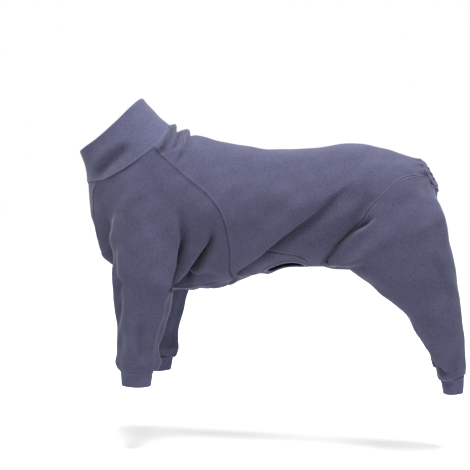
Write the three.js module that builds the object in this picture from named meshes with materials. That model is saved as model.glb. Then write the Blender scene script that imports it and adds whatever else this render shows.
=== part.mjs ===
// A four-legged fleece jumpsuit for a large, slim dog, as it keeps its form when it is worn.
// The wearer faces -X, its left side is -Y and +Z is up. The origin is where the suit sits on the
// wearer: the inner face of the back panel, on the topline at mid-back.
import * as THREE from 'three';

// Driving dimensions, in millimetres
const bodyLength = 543; // nape seam to tail opening
const chestDepth = 308; // topline at mid-back to the lowest point of the chest
const chestWidth = 224;
const tailOpeningWidth = 66;
const collarRimDepth = 186;
const collarRimWidth = 138;
const collarHeight = 82; // nape seam to rim, up the back of the neck
const frontLegLength = 199; // lowest point of the chest to the end of the cuff
const frontLegDepth = 100;
const frontLegWidth = 76;
const frontStance = 164; // centre to centre
const frontCuffHeight = 32;
const hindLegLength = 244; // belly line to the end of the cuff
const hindLegDepth = 118;
const hindLegWidth = 82;
const hindStance = 134;
const hindCuffHeight = 30;
const hindStride = 14; // how far the right hind leg stands ahead of the left one
const bellyOpeningLength = 96;
const bellyOpeningWidth = 66;
const bindingWidth = 6;
const tailBandWidth = 5;
const clothWall = 2.5;
const doubledWall = 4.5; // two layers: collar, cuffs and bindings
const seamGap = 0.35; // between the cut edges of two pieces that are sewn together
const foldDepth = 9; // depth of the deepest hollow beside a fold
const foldWidth = 24; // from the crest of the broadest pleat to its hollow
const hollowShare = 0.75; // how much narrower than its roll a fold's hollow is
const cornerReach = 75; // how far from the top of a sleeve its two seams draw the cloth straight down
const sharpestCorner = 0.35; // limits how far a pointed corner of a piece is drawn back

const degree = Math.PI / 180;
const collarLean = 134 * degree; // direction of the collar up the nape, from +X
const collarRimSlope = 219.4 * degree; // direction of the rim from the nape to the throat, from +X
const collarDip = 13; // how far the rim dips at the sides of the neck
const collarWaist = 3; // how far the collar draws in half-way up
const tailBandDraw = 0.26; // share by which the tail band draws in
const collarRows = 4;
const cuffRows = 1;

const fleece = 0x5b5c7c;
const fleeceDark = 0x51526f;
const fleeceRoughness = 0.95;

// Torso sections from the nape seam to the tail opening. Each is an egg-shaped ring across the body
// from a point on the topline to a point on the underside. X is a share of bodyLength, Z of
// chestDepth, half of chestWidth; the last ring takes its width from the tail opening.
const torsoSections = [
  { topX: -0.491, topZ: 0.162, lowX: -0.835, lowZ: -0.237, half: 0.72 },
  { topX: -0.447, topZ: 0.135, lowX: -0.823, lowZ: -0.36, half: 0.83 },
  { topX: -0.398, topZ: 0.108, lowX: -0.803, lowZ: -0.555, half: 0.91 },
  { topX: -0.34, topZ: 0.08, lowX: -0.748, lowZ: -0.779, half: 0.96 },
  { topX: -0.274, topZ: 0.056, lowX: -0.62, lowZ: -0.962, half: 0.99 },
  { topX: -0.201, topZ: 0.032, lowX: -0.429, lowZ: -1.0, half: 1.0 },
  { topX: -0.112, topZ: 0.013, lowX: -0.275, lowZ: -0.966, half: 0.98 },
  { topX: 0.0, topZ: 0, lowX: -0.139, lowZ: -0.883, half: 0.94 },
  { topX: 0.103, topZ: 0.016, lowX: 0.002, lowZ: -0.827, half: 0.9 },
  { topX: 0.205, topZ: 0.043, lowX: 0.122, lowZ: -0.813, half: 0.89 },
  { topX: 0.298, topZ: 0.041, lowX: 0.249, lowZ: -0.827, half: 0.92 },
  { topX: 0.383, topZ: 0.008, lowX: 0.404, lowZ: -0.763, half: 0.9 },
  { topX: 0.456, topZ: -0.035, lowX: 0.525, lowZ: -0.573, half: 0.74 },
  { topX: 0.509, topZ: -0.058, lowX: 0.577, lowZ: -0.272, half: 0.5 * tailOpeningWidth / (0.5 * chestWidth) },
];
const widestShare = 0.48; // how far down a ring its widest point lies
const lastSection = torsoSections.length - 1;

// Seams on the torso. station counts along torsoSections, and turn is the angle round the ring in
// degrees, from 0 on the topline to 180 on the underside. The right side mirrors the left.
const napeSeam = [
  { station: 0, turn: 0 },
  { station: 0.72, turn: 26 },
  { station: 1.3, turn: 55 },
];
const neckSeam = [
  { station: 1.3, turn: 55 },
  { station: 1.22, turn: 88 },
  { station: 0.9, turn: 118 },
];
const throatSeam = [
  { station: 0.9, turn: 118 },
  { station: 0.3, turn: 150 },
  { station: 0, turn: 180 },
];
const raglanSeam = [
  { station: 1.3, turn: 55 },
  { station: 2.35, turn: 56 },
  { station: 3.5, turn: 59 },
  { station: 4.5, turn: 66 },
  { station: 5.3, turn: 78 },
  { station: 5.75, turn: 91 },
  { station: 6.05, turn: 106 },
  { station: 6.25, turn: 124 },
  { station: 6.3, turn: 147 },
];
const underarmSeam = [
  { station: 6.3, turn: 147 },
  { station: 5.6, turn: 157 },
  { station: 4.9, turn: 162 },
  { station: 4.0, turn: 163 },
  { station: 3.0, turn: 160 },
  { station: 2.0, turn: 154 },
  { station: 1.15, turn: 142 },
  { station: 0.85, turn: 128 },
  { station: 0.9, turn: 118 },
];
const bellySeam = [
  { station: 6.3, turn: 147 },
  { station: 6.9, turn: 132 },
  { station: 7.4, turn: 131 },
  { station: 7.9, turn: 135 },
  { station: 8.35, turn: 141 },
  { station: 8.6, turn: 149 },
  { station: 8.72, turn: 160 },
  { station: 9.0, turn: 166 },
];
const hipSeam = [
  { station: 9.0, turn: 166 },
  { station: 9.3, turn: 142 },
  { station: 9.75, turn: 121 },
  { station: 10.2, turn: 104 },
  { station: 10.55, turn: 88 },
  { station: 11.1, turn: 73 },
  { station: 11.7, turn: 62 },
  { station: 12.3, turn: 65 },
  { station: 13, turn: 97 },
];
const groinSeam = [
  { station: 9.0, turn: 166 },
  { station: 10, turn: 168 },
  { station: 11, turn: 170 },
];
const crotchEdge = [
  { station: 11, turn: 170 },
  { station: 11, turn: 180 },
];
const crotchSeam = [
  { station: 11, turn: 180 },
  { station: 12, turn: 180 },
  { station: 13, turn: 180 },
];
const tailSide = [
  { station: 13, turn: 97 },
  { station: 13, turn: 180 },
];
const tailTop = [
  { station: 13, turn: 0 },
  { station: 13, turn: 97 },
];

// How many facets each seam has. Both pieces that meet along a seam use the same count.
const facets = {
  nape: 10, neck: 5, throat: 3, raglan: 11, underarm: 9, belly: 12, hip: 10, groin: 3, crotchEdge: 3,
  crotch: 4, tailSide: 3,
};

// Leg sections from the top ring down to the cuff's end. drop is a share of the leg's length, centre
// of bodyLength, depth and width of the leg's own, spread of half the stance. tilt is in degrees and
// lifts the rear. The last ring is the cuff's seam.
const frontCuffDrop = 1 - frontCuffHeight / frontLegLength;
const hindCuffDrop = 1 - hindCuffHeight / hindLegLength;
const frontLegRings = [
  { drop: -0.14, centre: -0.558, depth: 1.39, width: 1.3, spread: 0.98, tilt: -11.6 },
  { drop: 0.03, centre: -0.56, depth: 1.25, width: 1.2, spread: 0.99, tilt: -8 },
  { drop: 0.2, centre: -0.564, depth: 1.155, width: 1.1, spread: 1, tilt: -1 },
  { drop: 0.4, centre: -0.573, depth: 1.0, width: 1.0, spread: 1, tilt: 3 },
  { drop: 0.58, centre: -0.584, depth: 0.92, width: 0.95, spread: 1, tilt: 2.5 },
  { drop: 0.74, centre: -0.586, depth: 0.93, width: 0.96, spread: 1, tilt: 1 },
  { drop: frontCuffDrop, centre: -0.588, depth: 0.76, width: 0.8, spread: 1, tilt: -1 },
];
const frontCuffEnd = { drop: 1, centre: -0.59, depth: 0.67, width: 0.74, spread: 1, tilt: 0 };
const hindLegRings = [
  { drop: -0.254, centre: 0.412, depth: 1.98, width: 1.2, spread: 1, tilt: 25.8 },
  { drop: -0.064, centre: 0.468, depth: 1.65, width: 1.14, spread: 1, tilt: 18 },
  { drop: 0.152, centre: 0.522, depth: 1.27, width: 1.06, spread: 1, tilt: 6.9 },
  { drop: 0.314, centre: 0.567, depth: 1.0, width: 1.0, spread: 1, tilt: 1.7 },
  { drop: 0.542, centre: 0.61, depth: 0.74, width: 0.86, spread: 1, tilt: 10.9 },
  { drop: 0.731, centre: 0.636, depth: 0.56, width: 0.77, spread: 1, tilt: 2.7 },
  { drop: hindCuffDrop, centre: 0.647, depth: 0.43, width: 0.57, spread: 1, tilt: 14.7 },
];
const hindCuffEnd = { drop: 1, centre: 0.65, depth: 0.37, width: 0.53, spread: 1, tilt: 3.4 };
const bellyLineShare = 0.814; // of chestDepth, where hindLegLength starts

// How the cloth runs from a loop of seams into the top ring of a leg. A row for each corner of the
// loop: the angle on the ring that it runs to (0 rear, 90 inner, 180 front, 270 outer), and how far
// it keeps the direction of the torso (pull) and of the leg (drop), as shares of the distance.
const frontCorners = [
  { angle: -75, pull: 0.8, drop: 0.75 },
  { angle: 45, pull: 0.7, drop: 0.45 },
  { angle: 165, pull: 1.0, drop: 0.5 },
  { angle: 285, pull: 0.8, drop: 0.75 },
];
const hindCorners = [
  { angle: -35, pull: 0.8, drop: 0.7 },
  { angle: -172, pull: 0.6, drop: 0.6 },
  { angle: -255, pull: 0.5, drop: 0.6 },
  { angle: -268, pull: 0.45, drop: 0.6 },
  { angle: -325, pull: 0.25, drop: 0.5 },
  { angle: -395, pull: 0.8, drop: 0.7 },
];
const cornerDraw = 0.75; // share of the pull that a pointed top corner takes away
const frontBridgeRows = 11;
const hindBridgeRows = 8;

// Rolls, pleats and dents of the cloth, drawn on the side view. Each runs along path, given as X in
// shares of bodyLength and Z in shares of chestDepth. rise lifts a roll along it and sink a hollow
// on its right hand, both in shares of foldDepth; width is a share of foldWidth. A fold fades at its
// ends over fade, a share of its path, and where the cloth turns away from the side, unless up
// carries it over the topline or ahead round the front.
const folds = [
  { name: 'flank pleat', rise: 0.7, sink: 1.0, width: 1, fade: 0.16, up: 0, ahead: 0,
    path: [[-0.25, -0.98], [-0.19, -0.81], [-0.023, -0.59], [0.141, -0.35], [0.317, -0.153]] },
  { name: 'armpit channel', rise: 0.35, sink: 0.6, width: 0.75, fade: 0.3, up: 0, ahead: 0,
    path: [[-0.4, -0.96], [-0.38, -0.78], [-0.375, -0.59], [-0.38, -0.37]] },
  { name: 'second armpit channel', rise: 0.3, sink: 0.6, width: 0.75, fade: 0.3, up: 0, ahead: 0,
    path: [[-0.37, -0.96], [-0.32, -0.78], [-0.27, -0.66], [-0.24, -0.49], [-0.23, -0.37]] },
  { name: 'nape roll', rise: 0.3, sink: 0.35, width: 0.71, fade: 0.2, up: 1, ahead: 0,
    path: [[-0.45, 0.206], [-0.458, 0.127], [-0.472, 0.07], [-0.5, -0.02]] },
  { name: 'withers roll', rise: 0.3, sink: 0.35, width: 0.71, fade: 0.25, up: 1, ahead: 0,
    path: [[-0.38, 0.167], [-0.387, 0.1], [-0.4, 0.03], [-0.43, -0.06]] },
  { name: 'hip hollow', rise: 0.2, sink: 0.4, width: 0.75, fade: 0.3, up: 0, ahead: 0,
    path: [[0.37, -0.388], [0.315, -0.463], [0.25, -0.588], [0.15, -0.785]] },
  { name: 'shoulder drag', rise: 0.35, sink: 0.2, width: 0.75, fade: 0.4, up: 0, ahead: 0,
    path: [[-0.65, -0.45], [-0.676, -0.622], [-0.693, -0.745]] },
  { name: 'shoulder fullness', rise: 0.8, sink: 0, width: 1.75, fade: 0.5, up: 0, ahead: 1,
    path: [[-0.78, -0.46], [-0.745, -0.66], [-0.69, -0.84]] },
  { name: 'hock fold', rise: 0.2, sink: 0.4, width: 0.58, fade: 0.3, up: 0, ahead: 0,
    path: [[0.55, -1.295], [0.592, -1.365], [0.64, -1.4]] },
];

function mix(a, b, share) {
  return a + (b - a) * share;
}

// Eases from 0 at low to 1 at high
function smoothstep(low, high, value) {
  const t = Math.min(Math.max((value - low) / (high - low), 0), 1);
  return t * t * (3 - 2 * t);
}

// A smooth curve through the rows of a table, read at a place that counts its rows
function readTable(rows, place) {
  const last = rows.length - 1;
  const index = Math.min(Math.max(Math.floor(place), 0), Math.max(last - 1, 0));
  const t = place - index;
  const before = rows[Math.max(index - 1, 0)];
  const start = rows[index];
  const end = rows[Math.min(index + 1, last)];
  const after = rows[Math.min(index + 2, last)];
  const result = {};
  for (const key of Object.keys(start)) {
    const [p0, p1, p2, p3] = [before[key], start[key], end[key], after[key]];
    const square = t * t * (2 * p0 - 5 * p1 + 4 * p2 - p3);
    const cube = t * t * t * (3 * p1 - p0 - 3 * p2 + p3);
    result[key] = 0.5 * (2 * p1 + t * (p2 - p0) + square + cube);
  }
  return result;
}

// A point of the torso's outer face
function torsoPoint(station, turn) {
  const section = readTable(torsoSections, station);
  const angle = turn * degree;
  const across = Math.cos(angle) > 0
    ? widestShare * (1 - Math.cos(angle))
    : widestShare - (1 - widestShare) * Math.cos(angle);
  return new THREE.Vector3(
    bodyLength * mix(section.topX, section.lowX, across),
    -0.5 * chestWidth * section.half * Math.sin(angle),
    clothWall + chestDepth * mix(section.topZ, section.lowZ, across),
  );
}

function torsoNormal(station, turn) {
  const step = 0.02; // stations
  const low = Math.max(station - step, 0);
  const high = Math.min(station + step, lastSection);
  const along = torsoPoint(high, turn).sub(torsoPoint(low, turn));
  const round = torsoPoint(station, turn + 1).sub(torsoPoint(station, turn - 1));
  return round.cross(along).normalize();
}

// Distance from a point of the side view to a fold's path, with the side and the share along it
function nearestOnPath(path, x, z) {
  let best = { distance: Infinity, along: 0 };
  for (let i = 0; i < path.length - 1; i += 1) {
    const [ax, az] = path[i];
    const [bx, bz] = path[i + 1];
    const dx = bx - ax;
    const dz = bz - az;
    const share = Math.min(Math.max(((x - ax) * dx + (z - az) * dz) / (dx * dx + dz * dz), 0), 1);
    const offX = x - ax - dx * share;
    const offZ = z - az - dz * share;
    const distance = Math.hypot(offX, offZ);
    if (distance < best.distance) {
      const side = Math.sign(dx * offZ - dz * offX) || 1;
      best = { distance, side, along: (i + share) / (path.length - 1) };
    }
  }
  return best;
}

const curveSteps = 24; // straight pieces that stand for a fold's path
const foldPaths = folds.map((fold) => {
  const rows = fold.path.map(([x, z]) => ({ x: x * bodyLength, z: z * chestDepth }));
  const path = [];
  for (let i = 0; i <= curveSteps; i += 1) {
    const row = readTable(rows, (i / curveSteps) * (rows.length - 1));
    path.push([row.x, row.z]);
  }
  return { ...fold, path, width: fold.width * foldWidth };
});
const foldReach = 4; // widths of a fold beyond which it no longer lifts the cloth
const sideOn = [0.05, 0.5]; // share of a normal along Y over which the folds of the side grow
const edgeOn = [0, 0.3]; // the same for those that run over the top or round the front

// How far the folds lift a point of the left side's cloth along its outward normal
function foldLift(point, normal) {
  const sideways = smoothstep(...sideOn, -normal.y);
  const upwards = smoothstep(...edgeOn, normal.z);
  const forwards = smoothstep(...edgeOn, -normal.x);
  let lift = 0;
  for (const fold of foldPaths) {
    const near = nearestOnPath(fold.path, point.x, point.z);
    if (near.distance < foldReach * fold.width) {
      const ends = smoothstep(0, fold.fade, near.along) * smoothstep(0, fold.fade, 1 - near.along);
      const signed = -near.side * near.distance;
      const narrow = fold.width * hollowShare;
      const roll = fold.rise * Math.exp(-((signed / (signed < 0 ? fold.width : narrow)) ** 2));
      const hollow = fold.sink * Math.exp(-(((signed - fold.width) / narrow) ** 2));
      const facing = Math.max(sideways, fold.up * upwards, fold.ahead * forwards);
      lift += foldDepth * ends * facing * (roll - hollow);
    }
  }
  return lift;
}

// A point of the torso moved by the folds, with the torso's normal. Pieces that meet there share it.
function seamPoint(station, turn, mirrored) {
  const point = torsoPoint(station, turn);
  const normal = torsoNormal(station, turn);
  point.addScaledVector(normal, foldLift(point, normal));
  if (mirrored) {
    point.y = -point.y;
    normal.y = -normal.y;
  }
  return { point, normal };
}

function seamSamples(seam, count) {
  const samples = [];
  for (let i = 0; i <= count; i += 1) {
    samples.push(readTable(seam, (i / count) * (seam.length - 1)));
  }
  return samples;
}

// How far a sampled seam bends away from the straight line between its ends
function seamBend(samples, index) {
  const share = index / (samples.length - 1);
  const [first, last] = [samples[0], samples[samples.length - 1]];
  return {
    station: samples[index].station - mix(first.station, last.station, share),
    turn: samples[index].turn - mix(first.turn, last.turn, share),
  };
}

function reversed(list) {
  return [...list].reverse();
}

// A sheet of cloth: points of its outer face, known normals along its seams, and four-sided facets
function newSheet() {
  return { points: [], normals: [], quads: [] };
}

function addPoint(sheet, point, normal = null) {
  sheet.points.push(point);
  sheet.normals.push(normal);
  return sheet.points.length - 1;
}

function faceTriangles(sheet) {
  const triangles = [];
  for (const [a, b, c, d] of sheet.quads) {
    const one = sheet.points[a].distanceTo(sheet.points[c]);
    const two = sheet.points[b].distanceTo(sheet.points[d]);
    if (one <= two) triangles.push([a, b, c], [a, c, d]);
    else triangles.push([a, b, d], [b, c, d]);
  }
  return triangles;
}

function sumNormals(points, triangles) {
  const sums = points.map(() => new THREE.Vector3());
  for (const [a, b, c] of triangles) {
    const ab = points[b].clone().sub(points[a]);
    const ac = points[c].clone().sub(points[a]);
    const face = ab.cross(ac);
    for (const index of [a, b, c]) sums[index].add(face);
  }
  return sums.map((sum) => sum.normalize());
}

// The triangles of a sheet and its normals, turned to agree with the known normals along its seams
function facedOutwards(sheet) {
  const triangles = faceTriangles(sheet);
  const normals = sumNormals(sheet.points, triangles);
  const agreement = sheet.normals.reduce((sum, known, index) => (
    known ? sum + known.dot(normals[index]) : sum
  ), 0);
  if (agreement >= 0) return { triangles, normals };
  return {
    triangles: triangles.map(([a, b, c]) => [a, c, b]),
    normals: normals.map((normal) => normal.negate()),
  };
}

// Turns a sheet into a closed wall: outer face, inner face and the cut edges between them. Each edge
// is drawn back by half the seam gap, so that neighbours stay clear of each other.
function clothGeometry(sheet, wall) {
  const faced = facedOutwards(sheet);
  const { triangles } = faced;
  const normals = faced.normals.map((normal, index) => sheet.normals[index] ?? normal);

  const directed = new Set();
  for (const [a, b, c] of triangles) {
    for (const [from, to] of [[a, b], [b, c], [c, a]]) directed.add(`${from},${to}`);
  }
  const edges = [];
  for (const key of directed) {
    const [from, to] = key.split(',').map(Number);
    if (!directed.has(`${to},${from}`)) edges.push([from, to]);
  }

  const inward = sheet.points.map(() => []);
  for (const [from, to] of edges) {
    const along = sheet.points[to].clone().sub(sheet.points[from]).normalize();
    inward[from].push(normals[from].clone().cross(along).normalize());
    inward[to].push(normals[to].clone().cross(along).normalize());
  }
  const outer = sheet.points.map((point, index) => {
    const moved = point.clone();
    const pair = inward[index];
    if (pair.length === 2) {
      const spread = Math.max(1 + pair[0].dot(pair[1]), sharpestCorner);
      const shift = pair[0].clone().add(pair[1]).multiplyScalar((0.5 * seamGap) / spread);
      moved.add(shift);
    }
    return moved;
  });
  const inner = outer.map((point, index) => point.clone().addScaledVector(normals[index], -wall));

  const count = sheet.points.length;
  const indices = [];
  for (const [a, b, c] of triangles) {
    indices.push(a, b, c);
    indices.push(a + count, c + count, b + count);
  }
  for (const [from, to] of edges) {
    indices.push(to, from, from + count);
    indices.push(to, from + count, to + count);
  }
  const geometry = new THREE.BufferGeometry().setFromPoints([...outer, ...inner]);
  geometry.setIndex(indices);
  geometry.computeVertexNormals();
  return geometry;
}

// Rows of points joined into four-sided facets. skip leaves some out, as round an opening.
function joinRows(sheet, rows, skip = () => false) {
  for (let i = 0; i < rows.length - 1; i += 1) {
    for (let j = 0; j < rows[i].length - 1; j += 1) {
      const quad = [rows[i][j], rows[i + 1][j], rows[i + 1][j + 1], rows[i][j + 1]];
      if (!skip(i, j)) sheet.quads.push(quad);
    }
  }
}

// The back panel: columns from the topline down to the seam on each side
function backPanel() {
  const sheet = newSheet();
  const raglan = seamSamples(raglanSeam, facets.raglan);
  const belly = seamSamples(bellySeam, facets.belly);
  const hip = seamSamples(hipSeam, facets.hip);
  const edge = [...raglan, ...belly.slice(1), ...hip.slice(1)];
  const nape = seamSamples(napeSeam, facets.nape);
  const toplineMarks = [0, 7.2, 9.9, lastSection];
  const topline = edge.map((_, index) => {
    if (index <= facets.raglan) return mix(toplineMarks[0], toplineMarks[1], index / facets.raglan);
    const past = index - facets.raglan;
    if (past <= facets.belly) return mix(toplineMarks[1], toplineMarks[2], past / facets.belly);
    return mix(toplineMarks[2], toplineMarks[3], (past - facets.belly) / facets.hip);
  });
  const columns = edge.map((end, index) => {
    const column = [];
    const nearNape = (1 - Math.min(index / facets.raglan, 1)) ** 2;
    for (let row = -facets.nape; row <= facets.nape; row += 1) {
      const share = Math.abs(row) / facets.nape;
      const bend = seamBend(nape, Math.abs(row));
      const station = mix(topline[index], end.station, share) + nearNape * bend.station;
      const turn = mix(0, end.turn, share) + nearNape * bend.turn;
      const place = seamPoint(station, turn, row > 0);
      const onSeam = share === 1 || index === 0 || index === edge.length - 1;
      column.push(addPoint(sheet, place.point, onSeam ? place.normal : null));
    }
    return column;
  });
  joinRows(sheet, columns);
  return clothGeometry(sheet, clothWall);
}

// The belly panel's long edges, from the throat to the crotch
const panelEdge = [
  ...reversed(seamSamples(underarmSeam, facets.underarm)),
  ...seamSamples(bellySeam, facets.belly).slice(1),
  ...seamSamples(groinSeam, facets.groin).slice(1),
];
const panelRows = facets.throat; // on each side of the middle
const throatDip = throatSeam[0].station - throatSeam[throatSeam.length - 1].station;

// The opening under the belly lies a little towards the left. Its hole takes a block of the panel's
// facets, whose outline is drawn out to an oval.
const openingStation = 7.95;
const openingTurn = 166.5;
const openingFade = 0.96; // stations over which the panel's rows draw in to the hole
const openingRows = [-1, -0.72, -0.46, -0.18, 0.1, 0.38, 1];
const openingBlock = { firstColumn: facets.underarm + 3, columns: 5, firstRow: 1, rows: 4 };

const alongSpan = 1; // stations over which millimetres are measured at the opening
const acrossSpan = 10; // degrees, the same
const perStation = torsoPoint(openingStation + 0.5 * alongSpan, openingTurn)
  .distanceTo(torsoPoint(openingStation - 0.5 * alongSpan, openingTurn)) / alongSpan;
const perTurn = torsoPoint(openingStation, openingTurn + 0.5 * acrossSpan)
  .distanceTo(torsoPoint(openingStation, openingTurn - 0.5 * acrossSpan)) / acrossSpan;

function ovalPoint(angle, grow = 0) {
  return {
    station: openingStation + (Math.cos(angle) * (0.5 * bellyOpeningLength + grow)) / perStation,
    turn: openingTurn + (Math.sin(angle) * (0.5 * bellyOpeningWidth + grow)) / perTurn,
  };
}

// Corners of the block's outline in order, each with its angle on the oval
function blockOutline() {
  const { columns, rows } = openingBlock;
  const outline = [];
  for (let i = 0; i < columns; i += 1) outline.push([i, 0]);
  for (let j = 0; j < rows; j += 1) outline.push([columns, j]);
  for (let i = columns; i > 0; i -= 1) outline.push([i, rows]);
  for (let j = rows; j > 0; j -= 1) outline.push([0, j]);
  return outline.map(([i, j]) => ({
    column: openingBlock.firstColumn + i,
    row: openingBlock.firstRow + j,
    angle: Math.atan2(j - rows / 2, i - columns / 2),
  }));
}

// A point at any angle round the torso, from 0 to 360 degrees
function roundPoint(station, turn) {
  const mirrored = turn > 180;
  return seamPoint(station, mirrored ? 360 - turn : turn, mirrored);
}

function bellyPanel() {
  const sheet = newSheet();
  const throat = seamSamples(throatSeam, panelRows);
  const outline = blockOutline();
  const lastColumn = panelEdge.length - 1;
  const columns = panelEdge.map((edge, index) => {
    const nearThroat = (1 - Math.min(index / facets.underarm, 1)) ** 2;
    const middle = edge.station - throatDip * nearThroat;
    const nearOpening = 1 - smoothstep(0, openingFade, Math.abs(edge.station - openingStation));
    const column = [];
    for (let row = 0; row <= 2 * panelRows; row += 1) {
      const across = mix(row / panelRows - 1, openingRows[row], nearOpening);
      const share = Math.abs(across);
      const bend = seamBend(throat, panelRows - Math.abs(row - panelRows));
      const turn = mix(180, edge.turn, share) + nearThroat * bend.turn;
      let place = {
        station: mix(middle, edge.station, share) + nearThroat * bend.station,
        turn: across < 0 ? turn : 360 - turn,
      };
      const onOval = outline.find((mark) => mark.column === index && mark.row === row);
      if (onOval) place = ovalPoint(onOval.angle);
      const { point, normal } = roundPoint(place.station, place.turn);
      const onEdge = share === 1 || index === 0 || index === lastColumn || Boolean(onOval);
      column.push(addPoint(sheet, point, onEdge ? normal : null));
    }
    return column;
  });
  const { firstColumn, firstRow } = openingBlock;
  joinRows(sheet, columns, (i, j) => (
    i >= firstColumn && i < firstColumn + openingBlock.columns
    && j >= firstRow && j < firstRow + openingBlock.rows
  ));
  return clothGeometry(sheet, clothWall);
}

function bellyBinding() {
  const sheet = newSheet();
  const angles = blockOutline().map((mark) => mark.angle);
  const rows = [0, -0.5 * bindingWidth, -bindingWidth].map((grow, level) => {
    const row = angles.map((angle) => {
      const { station, turn } = ovalPoint(angle, grow);
      const place = roundPoint(station, turn);
      return addPoint(sheet, place.point, level === 0 ? place.normal : null);
    });
    return [...row, row[0]];
  });
  joinRows(sheet, rows);
  return clothGeometry(sheet, doubledWall);
}

// The collar's rim, as a ring round the neck
const napePoint = torsoPoint(0, 0);
const rimTop = napePoint.clone().add(
  new THREE.Vector3(Math.cos(collarLean), 0, Math.sin(collarLean)).multiplyScalar(collarHeight),
);
const rimSlope = new THREE.Vector3(Math.cos(collarRimSlope), 0, Math.sin(collarRimSlope));
const rimAxis = new THREE.Vector3(rimSlope.z, 0, -rimSlope.x); // up out of the collar

function rimPoint(turn) {
  const angle = turn * degree;
  const point = rimTop.clone().addScaledVector(rimSlope, (collarRimDepth * (1 - Math.cos(angle))) / 2);
  point.addScaledVector(rimAxis, -collarDip * Math.sin(angle) ** 2);
  point.y = -0.5 * collarRimWidth * Math.sin(angle);
  return point;
}

function collar() {
  const sheet = newSheet();
  const half = [
    ...seamSamples(napeSeam, facets.nape),
    ...seamSamples(neckSeam, facets.neck).slice(1),
    ...seamSamples(throatSeam, facets.throat).slice(1),
  ];
  const loop = [
    ...half.map((mark) => ({ ...mark, mirrored: false })),
    ...reversed(half).slice(1, -1).map((mark) => ({ ...mark, mirrored: true })),
  ];
  const rows = [];
  for (let level = 0; level <= collarRows; level += 1) {
    const share = level / collarRows;
    const row = loop.map(({ station, turn, mirrored }) => {
      const { point, normal } = seamPoint(station, turn, mirrored);
      const rim = rimPoint(turn);
      if (mirrored) rim.y = -rim.y;
      const place = point.clone().lerp(rim, share);
      place.addScaledVector(normal, -collarWaist * Math.sin(Math.PI * share));
      return addPoint(sheet, place, level === 0 ? normal : null);
    });
    rows.push([...row, row[0]]);
  }
  joinRows(sheet, rows);
  return clothGeometry(sheet, doubledWall);
}

// The narrow band that draws in the cloth round the tail
function tailBinding() {
  const sheet = newSheet();
  const half = [
    ...seamSamples(tailTop, facets.nape),
    ...seamSamples(tailSide, facets.tailSide).slice(1),
  ];
  const loop = [
    ...half.map((mark) => ({ ...mark, mirrored: false })),
    ...reversed(half).slice(1, -1).map((mark) => ({ ...mark, mirrored: true })),
  ];
  const top = torsoPoint(lastSection, 0);
  const low = torsoPoint(lastSection, 180);
  const centre = top.clone().lerp(low, 0.5);
  const slope = low.clone().sub(top).normalize();
  const axis = new THREE.Vector3(-slope.z, 0, slope.x);
  const rows = [];
  for (let level = 0; level <= 2; level += 1) {
    const share = level / 2;
    const row = loop.map(({ station, turn, mirrored }) => {
      const { point, normal } = seamPoint(station, turn, mirrored);
      const place = point.clone().lerp(centre, tailBandDraw * share);
      place.addScaledVector(axis, tailBandWidth * share);
      return addPoint(sheet, place, level === 0 ? normal : null);
    });
    rows.push([...row, row[0]]);
  }
  joinRows(sheet, rows);
  return clothGeometry(sheet, doubledWall);
}

// A point of a ring round the left leg, with its outward normal. ahead moves the leg forwards.
function ringPoint(leg, row, angle, ahead) {
  const tilt = row.tilt * degree;
  const lengthwise = new THREE.Vector3(Math.cos(tilt), 0, Math.sin(tilt));
  const crosswise = new THREE.Vector3(0, 1, 0);
  const centre = new THREE.Vector3(
    row.centre * bodyLength - ahead,
    -0.5 * leg.stance * row.spread,
    leg.startZ - row.drop * leg.length,
  );
  const [cos, sin] = [Math.cos(angle * degree), Math.sin(angle * degree)];
  const halfDepth = 0.5 * row.depth * leg.depth;
  const halfWidth = 0.5 * row.width * leg.width;
  const point = centre
    .addScaledVector(lengthwise, cos * halfDepth)
    .addScaledVector(crosswise, sin * halfWidth);
  const normal = lengthwise.multiplyScalar(cos / halfDepth).addScaledVector(crosswise, sin / halfWidth);
  return { point, normal: normal.normalize() };
}

// The closed loop of seams that a leg piece hangs from, with the direction in which its cloth leaves
function legLoop(leg) {
  const marks = [];
  leg.seams.forEach(([seam, count], part) => {
    seamSamples(seam, count).slice(0, -1).forEach((mark, index) => {
      const start = leg.corners[part];
      const end = leg.corners[part + 1];
      const share = index / count;
      marks.push({
        ...seamPoint(mark.station, mark.turn, false),
        angle: mix(start.angle, end.angle, share),
        pull: mix(start.pull, end.pull, share),
        drop: mix(start.drop, end.drop, share),
      });
    });
  });
  const count = marks.length;
  if (leg.pointed) {
    marks.forEach((mark) => {
      const away = mark.point.distanceTo(marks[0].point) / cornerReach;
      mark.pull *= 1 - cornerDraw * Math.exp(-(away ** 2));
    });
  }
  const middle = new THREE.Vector3();
  marks.forEach((mark) => middle.addScaledVector(mark.point, 1 / count));
  const leaving = marks.map((mark, index) => {
    const before = marks[(index + count - 1) % count].point;
    const after = marks[(index + 1) % count].point;
    return mark.normal.clone().cross(after.clone().sub(before)).normalize();
  });
  const vote = marks.reduce((sum, mark, index) => (
    sum + leaving[index].dot(middle.clone().sub(mark.point))
  ), 0);
  marks.forEach((mark, index) => {
    const smooth = leaving[index].clone().multiplyScalar(2)
      .add(leaving[(index + count - 1) % count])
      .add(leaving[(index + 1) % count]);
    mark.leaving = smooth.multiplyScalar(Math.sign(vote)).normalize();
  });
  return marks;
}

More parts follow.
